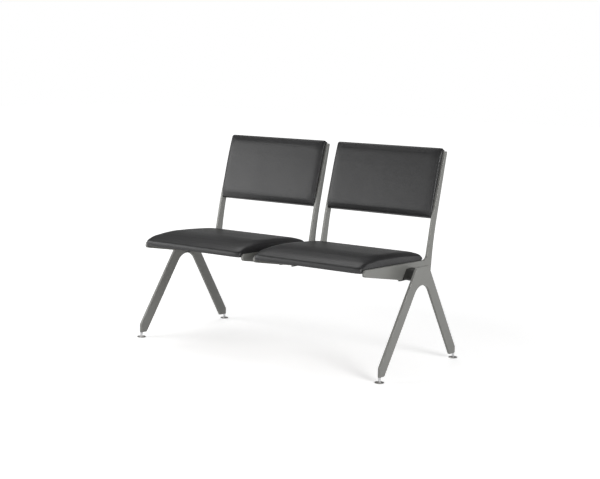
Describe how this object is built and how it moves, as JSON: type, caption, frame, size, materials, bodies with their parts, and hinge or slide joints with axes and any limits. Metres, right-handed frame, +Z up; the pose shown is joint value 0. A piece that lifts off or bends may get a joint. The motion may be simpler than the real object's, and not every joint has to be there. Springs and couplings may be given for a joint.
{
  "type": "beam seating",
  "caption": "Beam seating for a waiting area: padded seats and backs held between bent side plates on a tapered beam, on compass-shaped leg plates with levelling glides.",
  "frame": {"origin": "on the floor under the middle of the part's bounding box", "axes": "X runs along the beam, -Y is the front where people sit down, +Z is up"},
  "size_m": [1.215, 0.614, 0.8311],
  "materials": {
    "plate_paint": "warm silver-grey powder coat, satin",
    "beam_paint": "black powder coat, satin",
    "zinc_steel": "bright zinc plate",
    "leatherette": "smooth black upholstery, low sheen",
    "foam": "open-cell foam",
    "plywood": "unfinished plywood",
    "glide_metal": "bright plated steel"
  },
  "bodies": {
    "bench": {"leg_plate_left": "plate_paint", "leg_plate_right": "plate_paint", "side_plate_left_seat_left": "plate_paint", "side_plate_left_seat_right": "plate_paint", "side_plate_right_seat_left": "plate_paint", "side_plate_right_seat_right": "plate_paint", "beam": "beam_paint", "beam_spigot_left": "beam_paint", "beam_spigot_right": "beam_paint", "beam_strap_left_seat_left": "beam_paint", "beam_strap_left_seat_right": "beam_paint", "beam_strap_right_seat_left": "beam_paint", "beam_strap_right_seat_right": "beam_paint", "seat_rail_front_left": "beam_paint", "seat_rail_front_right": "beam_paint", "seat_rail_rear_left": "beam_paint", "seat_rail_rear_right": "beam_paint", "back_rail_lower_left": "beam_paint", "back_rail_lower_right": "beam_paint", "back_rail_upper_left": "beam_paint", "back_rail_upper_right": "beam_paint", "spigot_screws_left": "zinc_steel", "spigot_screws_right": "zinc_steel", "strap_screws": "zinc_steel", "seat_screws": "zinc_steel", "back_screws": "zinc_steel", "seat_board_nuts": "zinc_steel", "back_board_nuts": "zinc_steel", "seat_spacers": "zinc_steel", "back_spacers": "zinc_steel", "glide_lock_nuts": "zinc_steel", "seat_cover_left": "leatherette", "seat_cover_right": "leatherette", "back_cover_left": "leatherette", "back_cover_right": "leatherette", "seat_foam_left": "foam", "seat_foam_right": "foam", "back_foam_left": "foam", "back_foam_right": "foam", "seat_board_left": "plywood", "seat_board_right": "plywood", "back_board_left": "plywood", "back_board_right": "plywood"},
    "disc_front_left": {"glide_disc_front_left": "glide_metal"},
    "stem_front_left": {"glide_stem_front_left": "zinc_steel"},
    "disc_front_right": {"glide_disc_front_right": "glide_metal"},
    "stem_front_right": {"glide_stem_front_right": "zinc_steel"},
    "disc_rear_left": {"glide_disc_rear_left": "glide_metal"},
    "stem_rear_left": {"glide_stem_rear_left": "zinc_steel"},
    "disc_rear_right": {"glide_disc_rear_right": "glide_metal"},
    "stem_rear_right": {"glide_stem_rear_right": "zinc_steel"}
  },
  "joints": [
    {"name": "glide_front_left_height", "type": "slide", "parent": "bench", "child": "disc_front_left", "axis": [0, 0, 1], "range_m": [-0.015, 0]},
    {"name": "glide_front_left_turn", "type": "hinge", "parent": "disc_front_left", "child": "stem_front_left", "pos_m": [-0.5895, -0.255, 0.006], "axis": [0, 0, 1], "range_deg": [-5400, 0]},
    {"name": "glide_front_right_height", "type": "slide", "parent": "bench", "child": "disc_front_right", "axis": [0, 0, 1], "range_m": [-0.015, 0]},
    {"name": "glide_front_right_turn", "type": "hinge", "parent": "disc_front_right", "child": "stem_front_right", "pos_m": [0.5895, -0.255, 0.006], "axis": [0, 0, 1], "range_deg": [-5400, 0]},
    {"name": "glide_rear_left_height", "type": "slide", "parent": "bench", "child": "disc_rear_left", "axis": [0, 0, 1], "range_m": [-0.015, 0]},
    {"name": "glide_rear_left_turn", "type": "hinge", "parent": "disc_rear_left", "child": "stem_rear_left", "pos_m": [-0.5895, 0.289, 0.006], "axis": [0, 0, 1], "range_deg": [-5400, 0]},
    {"name": "glide_rear_right_height", "type": "slide", "parent": "bench", "child": "disc_rear_right", "axis": [0, 0, 1], "range_m": [-0.015, 0]},
    {"name": "glide_rear_right_turn", "type": "hinge", "parent": "disc_rear_right", "child": "stem_rear_right", "pos_m": [0.5895, 0.289, 0.006], "axis": [0, 0, 1], "range_deg": [-5400, 0]}
  ],
  "couplings": [
    {"joint": "glide_front_left_turn", "follows": "glide_front_left_height", "rad_per_m": 6283.1},
    {"joint": "glide_front_right_turn", "follows": "glide_front_right_height", "rad_per_m": 6283.1},
    {"joint": "glide_rear_left_turn", "follows": "glide_rear_left_height", "rad_per_m": 6283.1},
    {"joint": "glide_rear_right_turn", "follows": "glide_rear_right_height", "rad_per_m": 6283.1}
  ]
}
